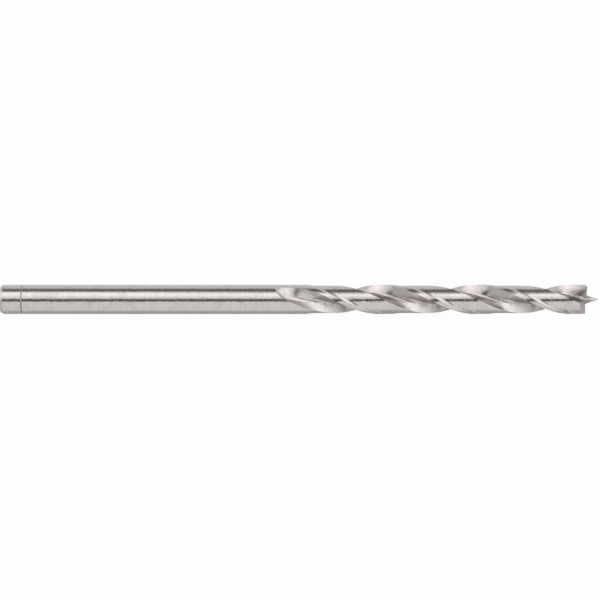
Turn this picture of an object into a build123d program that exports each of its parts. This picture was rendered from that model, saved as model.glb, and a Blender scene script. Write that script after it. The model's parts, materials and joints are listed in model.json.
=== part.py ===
from build123d import *
from math import acos, atan2, cos, degrees, hypot, pi, radians, sin, sqrt, tan
import os

# Whole bit. It lies along +X, with its back end at X = 0 and its spike pointing along +X.
diameter = 3.0
overall_length = 61.0
flute_length = 33.0
helix_angle = 25.8
lip_angle = 28.8  # where the first lip lies about the axis, from +Y towards +Z

# Shank, which is a little thinner than the lips, as the fluted length tapers back to it
back_taper = 0.02  # loss of diameter
end_bevel_length = 0.28
end_bevel_depth = 0.18
ring_position = 2.2
ring_width = 0.14
ring_depth = 0.05

# Flutes: a slightly crowned cutting face, a small arc at the bottom and a long arc up to the heel
face_offset = 0.43  # the face runs this far ahead of a line through the axis
face_inner_at_point = 0.38  # where the face gives way to the bottom arc, along that line
face_inner_at_shank = 0.57
face_crown_radius = 5.0
bottom_radius = 0.4
bottom_turn = 56.0
heel_radius = 3.5
flute_exit_length = 4.6  # stretch over which the flute gets shallow and ends
flute_climb = 1.0  # how far it climbs there along its heel wall
flute_climb_ease = 1.6  # how late it climbs
flute_end_length = 0.8  # rounded end after the climb
flute_end_turn = 74.0  # where the very end lies, from the cutting face
flute_end_ease = 1.5  # how late it swings there

# Lands, which keep the full diameter only on a narrow margin behind each cutting edge
margin_width = 0.5
body_clearance = 0.1
clearance_blend = 0.45  # radius of the hollow at the foot of the margin
clearance_length = 30.6
clearance_run_in = 1.8
clearance_turn = 90.0  # from the margin, round the land and out into the next flute

# Point
spike_length = 1.35
spike_half_angle = 18.0
spike_root_radius = 0.15
spur_height = 0.07
spur_width = 0.5
spur_rim = 0.06
spur_rim_angle = 40.0
spur_round = 0.08
first_relief_angle = 12.0
first_relief_width = 0.9
second_relief_angle = 35.0

# Sizes that follow from those above
radius = diameter / 2
shank_radius = radius - back_taper / 2
lead = pi * diameter / tan(radians(helix_angle))
lip_x = overall_length - spike_length
exit_x = overall_length - flute_length
end_x = exit_x + flute_end_length
full_depth_x = exit_x + flute_exit_length
clearance_x = overall_length - clearance_length
spike_foot = 2 * spike_length

# Room left round the cutting shapes, and how finely they follow the twist
spare = 0.5  # how far they reach past the steel that they remove
end_gap = 0.025  # how far clear of the steel a flute starts
run_in_rise = 0.05  # how far clear of the steel the ground clearance starts
front_x = overall_length + spare
station_turn = 18.0  # twist between two sections
end_stations = 3  # sections of a flute's rounded end


def lip_turn(x):
    """Where the cutting edge lies about the axis at x, from +Y towards +Z."""
    return lip_angle + (x - lip_x) * 360 / lead


def face_inner(x):
    """Where the straight face ends, from the axis. The flutes get shallower from the point to the shank."""
    share = (lip_x - x) / (lip_x - full_depth_x)
    return face_inner_at_point + (face_inner_at_shank - face_inner_at_point) * share


def edge_lead(x):
    """Angle from the foot of the cutting face to its edge, where the crowned face leaves the round steel."""
    inner = face_inner(x)
    below = face_crown_radius - face_offset
    centre = hypot(inner, below)
    at_axis = acos((radius**2 + centre**2 - face_crown_radius**2) / (2 * radius * centre))
    return degrees(at_axis - atan2(below, inner))


def face_turn(x):
    """Direction of the cutting face about the axis at x, from +Y towards +Z."""
    return lip_turn(x) - edge_lead(x)


def across(x, turn):
    """Plane square to the axis at x, with its own X turned about the axis from +Y towards +Z."""
    return Plane(origin=(x, 0, 0), x_dir=(0, cos(radians(turn)), sin(radians(turn))), z_dir=(1, 0, 0))


def stations(start, end):
    """Places along the axis of the sections of a helical cut, one for each step of twist."""
    count = round((end - start) / lead * 360 / station_turn)
    return [start + (end - start) * step / count for step in range(count + 1)]


def flute_section(x, bottom_centre=None):
    """Section of one flute on a plane square to the axis, at full depth or with its bottom arc elsewhere."""
    centre = bottom_centre or full_depth_centre(x)
    start = centre - Vector(0, bottom_radius)
    far = 2 * diameter
    with BuildSketch(across(x, face_turn(x))) as section:
        with BuildLine():
            face = JernArc(start, (1, 0), face_crown_radius, -degrees(diameter / face_crown_radius))
            bottom = JernArc(start, (-1, 0), bottom_radius, -bottom_turn)
            heel = JernArc(bottom @ 1, bottom % 1, heel_radius, -degrees(diameter / heel_radius))
            Polyline(heel @ 1, ((heel @ 1).X, far), (far, far), (far, (face @ 1).Y), face @ 1)
        make_face()
    return section.sketch


def full_depth_centre(x):
    """Centre of the flute's bottom arc at full depth, from the axis, along and square to the cutting face."""
    return Vector(face_inner(x), face_offset + bottom_radius)


def climbing_centre(x):
    """Centre of the bottom arc where the flute climbs along its own heel wall."""
    share = (full_depth_x - x) / (flute_exit_length - flute_end_length)
    return full_depth_centre(x) + Vector(-flute_climb * share**flute_climb_ease, 0).rotate(Axis.Z, -bottom_turn)


def ending_centre(x, share):
    """Centre of the bottom arc where it swings round to the flute's end and rises out of the steel."""
    before = climbing_centre(end_x)
    turn = degrees(atan2(before.Y, before.X))
    clear = radius + bottom_radius + end_gap
    out = clear - (clear - before.length) * sqrt(1 - share**2)
    return Vector(out, 0).rotate(Axis.Z, turn + (flute_end_turn - turn) * share**flute_end_ease)


def clearance_section(x):
    """Section of the cut that clears one land behind its margin, on a plane square to the axis."""
    run_in = min(1, (x - clearance_x) / clearance_run_in)
    floor = radius + run_in_rise - (body_clearance + run_in_rise) * run_in
    blend_reach = clearance_blend - sqrt(clearance_blend**2 - (clearance_blend - body_clearance) ** 2)
    first = edge_lead(x) - degrees((margin_width - blend_reach) / radius)
    with BuildSketch(across(x, face_turn(x))) as section:
        with BuildLine():
            inner = CenterArc((0, 0), floor, first, -clearance_turn)
            outer = CenterArc((0, 0), radius + spare, first, -clearance_turn)
            Line(inner @ 0, outer @ 0)
            Line(inner @ 1, outer @ 1)
        make_face()
        fillet(section.vertices().sort_by_distance(inner @ 0)[0], clearance_blend)
    return section.sketch


# One flute, from its rounded end on the shank, down the climb to full depth and on past the point
flute_sections = []
for step in range(end_stations, 0, -1):
    share = sin(radians(90 * step / end_stations))
    x = end_x - flute_end_length * share
    flute_sections.append(flute_section(x, ending_centre(x, share)))
for x in stations(end_x, full_depth_x)[:-1]:
    flute_sections.append(flute_section(x, climbing_centre(x)))
for x in stations(full_depth_x, front_x):
    flute_sections.append(flute_section(x))
with BuildPart() as flute_cut:
    loft(flute_sections)

# Clearance ground off one land, which starts just above the steel and runs in
with BuildPart() as clearance_cut:
    loft([clearance_section(x) for x in stations(clearance_x, front_x)])


def lip_profile(plane):
    """Half outline of the wheel that grinds one lip and the spur at its end, from the axis outwards."""
    crest = radius - spur_rim
    rim_drop = (spur_rim + spare) * tan(radians(spur_rim_angle))
    ahead = spike_length + diameter
    with BuildSketch(plane) as profile:
        with BuildLine():
            Polyline(
                (0, 0),
                (0, radius - spur_width),
                (spur_height, crest),
                (spur_height - rim_drop, radius + spare),
                (ahead, radius + spare),
                (ahead, 0),
                close=True,
            )
        make_face()
        fillet(profile.vertices().sort_by_distance((spur_height, crest))[0], spur_round)
    return profile.sketch


# What is ground off the front end, first gently and then steeply behind each lip, round a conical spike
edge_ahead = radius * sin(radians(edge_lead(lip_x)))
break_ahead = edge_ahead - first_relief_width
break_drop = first_relief_width * tan(radians(first_relief_angle))
reliefs = (
    (edge_ahead, 0, first_relief_angle),
    (break_ahead, -break_drop, second_relief_angle),
)
with BuildPart() as point_cut:
    for half_turn in (0, 180):
        lip = across(lip_x, face_turn(lip_x) + half_turn)
        for ahead, height, relief_angle in reliefs:
            hinge = lip.from_local_coords((0, ahead, height))
            falling = lip.y_dir.rotate(Axis((0, 0, 0), lip.x_dir), relief_angle)
            profile = lip_profile(Plane(hinge, x_dir=(1, 0, 0), z_dir=lip.y_dir))
            extrude(profile, amount=diameter, dir=falling, both=True)
    with BuildSketch(Plane.XY) as spike:
        with BuildLine():
            Polyline(
                (overall_length, 0),
                (overall_length - spike_foot, spike_foot * tan(radians(spike_half_angle))),
                (overall_length - spike_foot, 0),
                close=True,
            )
        make_face()
    revolve(axis=Axis.X, mode=Mode.SUBTRACT)
    fillet(point_cut.edges().filter_by(GeomType.ELLIPSE), spike_root_radius)


# Round bar, with its back end bevelled and a fine ring turned near it
with BuildPart() as drill_bit:
    with BuildSketch(Plane.XY):
        with BuildLine():
            Polyline(
                (0, 0),
                (0, shank_radius - end_bevel_depth),
                (end_bevel_length, shank_radius),
                (ring_position - ring_width / 2, shank_radius),
                (ring_position, shank_radius - ring_depth),
                (ring_position + ring_width / 2, shank_radius),
                (exit_x, shank_radius),
                (front_x, radius),
                (front_x, 0),
                close=True,
            )
        make_face()
    revolve(axis=Axis.X)

    # Two flutes and two cleared lands, half a turn apart
    for half_turn in (0, 180):
        add(flute_cut.part, rotation=(half_turn, 0, 0), mode=Mode.SUBTRACT)
        add(clearance_cut.part, rotation=(half_turn, 0, 0), mode=Mode.SUBTRACT)

    # Spike, lips and spurs
    add(point_cut.part, mode=Mode.SUBTRACT)

drill_bit.part.label = "drill_bit"

os.makedirs("parts", exist_ok=True)
export_step(drill_bit.part, "parts/drill_bit.step")
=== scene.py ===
import bpy
import json
import math
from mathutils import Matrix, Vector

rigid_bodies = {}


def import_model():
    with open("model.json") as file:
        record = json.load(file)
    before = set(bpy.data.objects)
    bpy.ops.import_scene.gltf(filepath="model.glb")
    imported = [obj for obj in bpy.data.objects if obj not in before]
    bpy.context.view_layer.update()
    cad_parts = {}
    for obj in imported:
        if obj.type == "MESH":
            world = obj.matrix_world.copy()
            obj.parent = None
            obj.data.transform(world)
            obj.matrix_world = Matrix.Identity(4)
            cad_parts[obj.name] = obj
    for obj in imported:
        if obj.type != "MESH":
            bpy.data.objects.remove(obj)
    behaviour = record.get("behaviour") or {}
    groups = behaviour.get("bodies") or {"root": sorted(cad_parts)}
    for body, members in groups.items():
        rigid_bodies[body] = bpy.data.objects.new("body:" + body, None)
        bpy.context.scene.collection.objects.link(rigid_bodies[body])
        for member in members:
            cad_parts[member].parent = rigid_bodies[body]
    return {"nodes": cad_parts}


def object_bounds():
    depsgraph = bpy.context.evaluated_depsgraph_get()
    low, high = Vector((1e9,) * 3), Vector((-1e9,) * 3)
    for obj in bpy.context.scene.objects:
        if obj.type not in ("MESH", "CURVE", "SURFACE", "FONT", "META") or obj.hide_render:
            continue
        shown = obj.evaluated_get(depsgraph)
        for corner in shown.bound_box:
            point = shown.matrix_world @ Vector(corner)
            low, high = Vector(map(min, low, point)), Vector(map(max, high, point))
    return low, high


for leftover in list(bpy.data.objects):
    bpy.data.objects.remove(leftover)
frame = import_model()
bit = frame["nodes"]["drill_bit"]
cad_box = [list(corner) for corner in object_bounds()]

# The bit lies along +X from X = 0, as in the CAD, in metres
LENGTH = cad_box[1][0]
RADIUS = cad_box[1][1]

# Places on the bit in millimetres, along it from its back end or out from its axis
MM = 1000.0
TIP = LENGTH * MM
FLUTE_START = TIP - 33.0
LEAD = 19.48
RING = (2.12, 2.18, 2.22, 2.28)  # a darker band in the turned ring: where it starts, is full, fades and ends
RUN_OUT = (FLUTE_START + 1.0, FLUTE_START + 3.5)  # where the wheel's rough run-out turns smooth
SPIKE_FOOT = (TIP - 3.6, TIP - 2.5, TIP - 2.05, TIP - 1.6)
SPIKE_FOOT_RADII = (1.25, 0.75)
FLUTE_BOTTOM_RADII = (1.0, 0.5)
SKIN_RADII = (1.30, 1.36)
SKIN_FACING = (0.86, 0.95)  # how nearly straight out from the axis the round skin faces

# Colours of the steel, the darker of each pair first
SKIN_COLOURS = ((0.563, 0.529, 0.516, 1), (0.602, 0.568, 0.559, 1))
FLUTE_COLOURS = ((0.542, 0.503, 0.490, 1), (0.645, 0.602, 0.589, 1))
CLOUD_COLOUR = (0.430, 0.396, 0.387, 1)
# Darkest colour, for small pits, darker patches and painted shade low in the flutes
DARK_MARK_AND_SHADE_COLOUR = (0.172, 0.146, 0.138, 1)

# Marks on the steel: how fine they are, for each millimetre along the bit, and their relief
TURNING_FINENESS = 6.0
TURNING_WAVER = 0.35  # how much a ring changes on its way round
TURNING_RELIEF = 0.8
WHEEL_FINENESS = 6.5
WHEEL_BEND = 0.45  # how far an arc runs ahead, for each square millimetre of its distance out
GRAIN_FINENESS = 5.0
GRAIN_STRETCH = 0.8
GRAIN_RELIEF = 2.5
CLOUD_FINENESS = 0.9
SPECK_FINENESS = 7.0
MARK_DEPTH = 0.000012
MARK_STRENGTH = 0.35

# Noise levels between which each look comes in, and where given how strong it is at each of the two
SKIN_STREAKS = (0.35, 0.65)
FLUTE_STREAKS = (0.34, 0.62)
CLOUDS = (0.42, 0.72, 0.0, 0.30)
# Painted shade low in the flutes, in cloudy patches
LOW_SHADE_PATCHES = (0.35, 0.6, 0.0, 0.45)
# Darker patches round the spike's foot, low in the flutes
SPIKE_FOOT_DARKENING = (0.38, 0.58, 0.3, 0.85)
# A darker band in the turned ring
RING_DARKENING = (0.3, 0.7, 0.35, 0.9)
PITS = (0.66, 0.74, 0.0, 0.55)
SKIN_ROUGHNESS = (0.3, 0.7, 0.13, 0.19)
FLUTE_ROUGHNESS = (0.18, 0.06)  # on top of the skin's, where the run-out is and past it
DARK_MARK_AND_SHADE_ROUGHNESS = 0.15

# Camera, by the photograph's scale: its distance and half the picture, in pixels
CAMERA_HEIGHT = 0.2102
CAMERA_PIXELS = 2060
HALF_PICTURE_PIXELS = 300
CAMERA_SHIFT = -0.000065  # the bit's axis lies a little above the middle of the photograph
SENSOR_WIDTH = 36
NEAR_LIMIT = 0.001

# Floor: how white it is shown, and where beside the bit's axis the steel sees it so, in millimetres
FLOOR_SIZE = 2
PAPER_COLOUR = (0.85, 0.85, 0.85, 1)
WHITE = (1, 1, 1, 1)
WHITE_SHARE = 0.96
UPPER_ZONE = (0.0, 3.0, 9.0, 18.0)
UPPER_ZONE_SHARE = 0.68
LOWER_ZONE = (-5.5, -14.0)
LOWER_ZONE_SHARE = 0.78

# Studio: brightness by direction round the bit, in degrees from straight up towards +Y, first as seen
# square to the bit and then as seen towards its back end and towards its point
STUDIO_SQUARE = (
    (-180, 1.00), (4, 1.00), (22, 1.28), (38, 1.63), (50, 1.47), (62, 1.16), (90, 0.95), (180, 0.95),
)
STUDIO_BACK = (
    (-180, 0.63), (-25, 0.63), (-8, 0.58), (4, 0.98), (20, 1.12), (36, 1.30), (55, 1.58), (85, 1.44),
    (180, 1.44),
)
STUDIO_POINT = (
    (-180, 0.54), (-80, 0.54), (-60, 0.70), (-35, 0.95), (0, 1.30), (36, 1.56), (55, 1.28), (75, 0.84),
    (86, 0.51), (180, 0.51),
)
# How far a direction leans along X where the views towards the ends start and are full
TOWARDS_BACK = (-0.11, -0.27)
TOWARDS_POINT = (0.12, 0.34)
# Directions in which the studio has nothing of its own, seen square to the bit: from the first to the
# second, in degrees, the white background comes in, and it stays from there down to the floor
OPEN_SIDE = (-21, -25)

# Strips along the bit: where each starts, is full, fades and ends, first in degrees round the bit and
# then as a lean along X, and its colour. The second only widens the third over the lands.
LOW_STRIP = ((-21, -13, -4, 11), (-0.52, -0.40, 0.28, 0.42), (0.093, 0.083, 0.086, 1))
WIDE_STRIP = ((38, 58, 70, 84), (-0.04, 0.03, 0.16, 0.25), (0.465, 0.436, 0.424, 1))
HIGH_STRIP = ((53, 71, 86, 107), (-0.34, -0.19, 0.12, 0.32), (0.174, 0.158, 0.153, 1))
POINT_STRIP = ((-100, -92, -82, -66), (0.12, 0.22, 0.42, 0.56), (0.221, 0.198, 0.192, 1))
WARM_SHADE = 0.02
FIRST_BOUNCE = 2.0  # Ray Depth of light that comes to the camera by one reflection
TWICE_REFLECTED = 0.68  # brightness of light that comes by two

# A Mix node's colour sockets, which share their names with those for other data
COLOUR_A = 6
COLOUR_B = 7
COLOUR_RESULT = 2


class Tree:
    """A node tree under construction: add nodes, join sockets, and work out values on the way."""

    def __init__(self, owner):
        owner.use_nodes = True
        self.tree = owner.node_tree
        self.tree.nodes.clear()

    def add(self, kind, inputs=None, **settings):
        node = self.tree.nodes.new(kind)
        for name, value in settings.items():
            setattr(node, name, value)
        for name, value in (inputs or {}).items():
            self.feed(node.inputs[name], value)
        return node

    def feed(self, socket, value):
        if isinstance(value, bpy.types.NodeSocket):
            self.tree.links.new(value, socket)
        else:
            socket.default_value = value

    def maths(self, operation, *values):
        node = self.add("ShaderNodeMath", operation=operation)
        for socket, value in zip(node.inputs, values):
            self.feed(socket, value)
        return node.outputs[0]

    def plus(self, first, second):
        return self.maths("ADD", first, second)

    def times(self, first, second):
        return self.maths("MULTIPLY", first, second)

    def most(self, first, second):
        return self.maths("MAXIMUM", first, second)

    def span(self, value, low, high, to_low=0.0, to_high=1.0, smooth=True):
        """A value's way from low to high, as a way from to_low to to_high."""
        node = self.add(
            "ShaderNodeMapRange",
            {"Value": value, "From Min": low, "From Max": high, "To Min": to_low, "To Max": to_high},
        )
        if smooth:
            node.interpolation_type = "SMOOTHSTEP"
        return node.outputs["Result"]

    def band(self, value, start, full, fading, end):
        """1 from full to fading, and 0 before start and after end."""
        return self.times(self.span(value, start, full), self.span(value, end, fading))

    def point(self, x, y, z):
        return self.add("ShaderNodeCombineXYZ", {"X": x, "Y": y, "Z": z}).outputs[0]

    def noise(self, point, scale, detail, roughness=0.55):
        inputs = {"Vector": point, "Scale": scale, "Detail": detail, "Roughness": roughness}
        return self.add("ShaderNodeTexNoise", inputs).outputs[0]

    def blend(self, share, low, high):
        node = self.add("ShaderNodeMix", data_type="RGBA")
        self.feed(node.inputs["Factor"], share)
        self.feed(node.inputs[COLOUR_A], low)
        self.feed(node.inputs[COLOUR_B], high)
        return node.outputs[COLOUR_RESULT]

    def sees_white(self, steel_share):
        """Who sees the white background: the camera and glass in full, and steel by a share."""
        paths = self.add("ShaderNodeLightPath").outputs
        in_steel = self.times(paths["Is Glossy Ray"], steel_share)
        in_full = self.most(paths["Is Camera Ray"], paths["Is Transmission Ray"])
        return self.most(in_full, in_steel)


class SteelTree(Tree):
    """The tree of a material on the bit, with places on the bit in millimetres and radians."""

    def __init__(self, owner):
        super().__init__(owner)
        place = self.add("ShaderNodeTexCoord").outputs
        x_y_z = self.add("ShaderNodeSeparateXYZ", {0: place["Object"]}).outputs
        self.along, y, z = (self.times(x_y_z[axis], MM) for axis in "XYZ")
        self.y_z = (y, z)
        self.place = self.point(self.along, y, z)
        self.out = self.maths("SQRT", self.plus(self.times(y, y), self.times(z, z)))
        self.turn = self.maths("ARCTAN2", z, y)
        outwards = self.point(0.0, self.maths("DIVIDE", y, self.out), self.maths("DIVIDE", z, self.out))
        facing = self.add("ShaderNodeVectorMath", operation="DOT_PRODUCT")
        self.feed(facing.inputs[0], place["Normal"])
        self.feed(facing.inputs[1], outwards)
        facing_out = self.span(facing.outputs["Value"], *SKIN_FACING)
        self.skin = self.times(facing_out, self.span(self.out, *SKIN_RADII))
        self.flute = self.maths("SUBTRACT", 1.0, self.skin)

    def turning_marks(self):
        """Fine rings round the shank and the lands."""
        along = self.times(self.along, TURNING_FINENESS)
        around = self.times(self.turn, TURNING_WAVER)
        return self.noise(self.point(along, around, self.out), scale=1.0, detail=5.0, roughness=0.65)

    def wheel_marks(self):
        """The grinding wheel's arcs, which lie across a flute and turn with it."""
        helix = self.maths("SUBTRACT", self.turn, self.times(self.along, 2 * math.pi / LEAD))
        bend = self.times(self.times(self.out, self.out), WHEEL_BEND)
        along = self.times(self.plus(self.along, bend), WHEEL_FINENESS)
        point = self.point(along, self.maths("SINE", helix), self.maths("COSINE", helix))
        return self.noise(point, scale=1.0, detail=5.0, roughness=0.72)

    def grain(self):
        """Fine grain of the skin, drawn out a little along the bit."""
        point = self.point(self.times(self.along, GRAIN_STRETCH), *self.y_z)
        return self.noise(point, scale=GRAIN_FINENESS, detail=2.0, roughness=0.5)

    def dark_marks_and_shade(self, rings, cloud, specks):
        """Painted shade low in the flutes, darker patches round the spike's foot and in the ring, and small
        dark pits.
        """
        # Painted shade: darker the nearer the flute's bottom, in cloudy patches
        low = self.times(self.span(self.out, *FLUTE_BOTTOM_RADII), self.span(cloud, *LOW_SHADE_PATCHES))
        # Darker in specks round the spike's foot, low in the flutes
        at_spike = self.times(self.band(self.along, *SPIKE_FOOT), self.span(self.out, *SPIKE_FOOT_RADII))
        at_spike = self.times(at_spike, self.span(specks, *SPIKE_FOOT_DARKENING))
        in_ring = self.times(self.band(self.along, *RING), self.span(rings, *RING_DARKENING))
        pits = self.span(specks, *PITS)
        return self.most(self.most(low, at_spike), self.most(pits, in_ring))


def ground_steel():
    """A turned shank and turned lands, and flutes with the marks of their wheel, rougher at its run-out."""
    material = bpy.data.materials.new("ground_steel")
    t = SteelTree(material)
    rings = t.turning_marks()
    arcs = t.wheel_marks()
    cloud = t.noise(t.place, scale=CLOUD_FINENESS, detail=4.0)
    specks = t.noise(t.place, scale=SPECK_FINENESS, detail=2.0, roughness=0.7)
    dark_marks_and_shade = t.dark_marks_and_shade(rings, cloud, specks)

    skin_colour = t.blend(t.span(rings, *SKIN_STREAKS), *SKIN_COLOURS)
    flute_colour = t.blend(t.span(arcs, *FLUTE_STREAKS), *FLUTE_COLOURS)
    colour = t.blend(t.flute, skin_colour, flute_colour)
    colour = t.blend(t.span(cloud, *CLOUDS), colour, CLOUD_COLOUR)
    # Pits, darker patches and painted shade low in the flutes darken the colour
    colour = t.blend(dark_marks_and_shade, colour, DARK_MARK_AND_SHADE_COLOUR)

    rough = t.times(t.flute, t.span(t.along, *RUN_OUT, *FLUTE_ROUGHNESS))
    rough = t.plus(rough, t.span(cloud, *SKIN_ROUGHNESS))
    rough = t.plus(rough, t.times(dark_marks_and_shade, DARK_MARK_AND_SHADE_ROUGHNESS))

    marks = t.plus(t.times(rings, TURNING_RELIEF), t.times(t.grain(), GRAIN_RELIEF))
    marks = t.plus(t.times(t.skin, marks), t.times(t.flute, arcs))
    bump = t.add("ShaderNodeBump", {"Strength": MARK_STRENGTH, "Distance": MARK_DEPTH, "Height": marks})
    shader = t.add(
        "ShaderNodeBsdfPrincipled",
        {"Base Color": colour, "Metallic": 1.0, "Roughness": rough, "Normal": bump.outputs[0]},
    )
    t.add("ShaderNodeOutputMaterial", {"Surface": shader.outputs[0]})
    return material


def white_paper():
    """Lit paper with the bit's shadow, shown white to the camera, to glass, and to steel in two zones."""
    material = bpy.data.materials.new("paper")
    t = Tree(material)
    x_y_z = t.add("ShaderNodeSeparateXYZ", {0: t.add("ShaderNodeTexCoord").outputs["Object"]})
    beside = t.times(x_y_z.outputs["Y"], MM)
    upper_zone = t.times(t.band(beside, *UPPER_ZONE), UPPER_ZONE_SHARE)
    in_zones = t.most(upper_zone, t.span(beside, *LOWER_ZONE, 0.0, LOWER_ZONE_SHARE))
    share = t.times(t.sees_white(in_zones), WHITE_SHARE)
    lit = t.add("ShaderNodeBsdfDiffuse", {"Color": PAPER_COLOUR})
    glow = t.add("ShaderNodeEmission", {"Color": WHITE, "Strength": 1.0})
    mix = t.add("ShaderNodeMixShader", {0: share, 1: lit.outputs[0], 2: glow.outputs[0]})
    t.add("ShaderNodeOutputMaterial", {"Surface": mix.outputs[0]})
    return material


def studio_ramp(t, angle, stops):
    """One ramp of the studio's brightness, a little warmer where it is dark."""
    ramp = t.add("ShaderNodeValToRGB", {0: t.span(angle, -math.pi, math.pi, smooth=False)})
    elements = ramp.color_ramp.elements
    for degrees, _ in stops[1:-1]:
        elements.new((degrees + 180) / 360)
    for element, (degrees, value) in zip(elements, stops):
        element.position = (degrees + 180) / 360
        warmth = WARM_SHADE * max(0.0, 1 - value)
        element.color = (value + warmth, value, value - warmth / 4, 1)
    return ramp.outputs[0]


def studio():
    """The world: a studio that the steel reflects, before a background that is white."""
    world = bpy.data.worlds.new("studio")
    t = Tree(world)
    where = t.add("ShaderNodeSeparateXYZ", {0: t.add("ShaderNodeTexCoord").outputs["Generated"]}).outputs
    angle = t.maths("ARCTAN2", where["Y"], where["Z"])
    towards_back = t.span(where["X"], *TOWARDS_BACK)
    towards_point = t.span(where["X"], *TOWARDS_POINT)

    light = t.blend(towards_back, studio_ramp(t, angle, STUDIO_SQUARE), studio_ramp(t, angle, STUDIO_BACK))
    light = t.blend(towards_point, light, studio_ramp(t, angle, STUDIO_POINT))
    for round_limits, along_limits, colour in (LOW_STRIP, WIDE_STRIP, HIGH_STRIP, POINT_STRIP):
        strip = t.band(angle, *(math.radians(limit) for limit in round_limits))
        strip = t.times(strip, t.band(where["X"], *along_limits))
        light = t.blend(strip, light, colour)

    open_side = t.span(angle, *(math.radians(limit) for limit in OPEN_SIDE))
    square_on = t.maths("SUBTRACT", 1.0, t.most(towards_back, towards_point))
    seen_white = t.sees_white(t.times(open_side, square_on))
    ray_depth = t.add("ShaderNodeLightPath").outputs["Ray Depth"]
    strength = t.span(ray_depth, FIRST_BOUNCE, FIRST_BOUNCE + 1, 1.0, TWICE_REFLECTED)
    sky = t.add("ShaderNodeBackground", {0: light, 1: strength})
    background = t.add("ShaderNodeBackground", {0: WHITE, 1: strength})
    mix = t.add("ShaderNodeMixShader", {0: seen_white, 1: sky.outputs[0], 2: background.outputs[0]})
    t.add("ShaderNodeOutputWorld", {"Surface": mix.outputs[0]})
    return world


bit.data.materials.clear()
bit.data.materials.append(ground_steel())

# Camera, straight above the bit, as in the photograph
camera = bpy.data.objects.new("camera", bpy.data.cameras.new("camera"))
bpy.context.scene.collection.objects.link(camera)
camera.location = (LENGTH / 2, CAMERA_SHIFT, CAMERA_HEIGHT)
camera.data.sensor_width = SENSOR_WIDTH
camera.data.lens = SENSOR_WIDTH / 2 * CAMERA_PIXELS / HALF_PICTURE_PIXELS
camera.data.clip_start = NEAR_LIMIT
bpy.context.scene.camera = camera

# Floor, right under the bit
bpy.ops.mesh.primitive_plane_add(size=FLOOR_SIZE, location=(LENGTH / 2, 0, -RADIUS))
floor = bpy.context.object
floor.name = "floor"
floor.data.materials.append(white_paper())

bpy.context.scene.world = studio()
bpy.context.scene.view_settings.view_transform = "Standard"
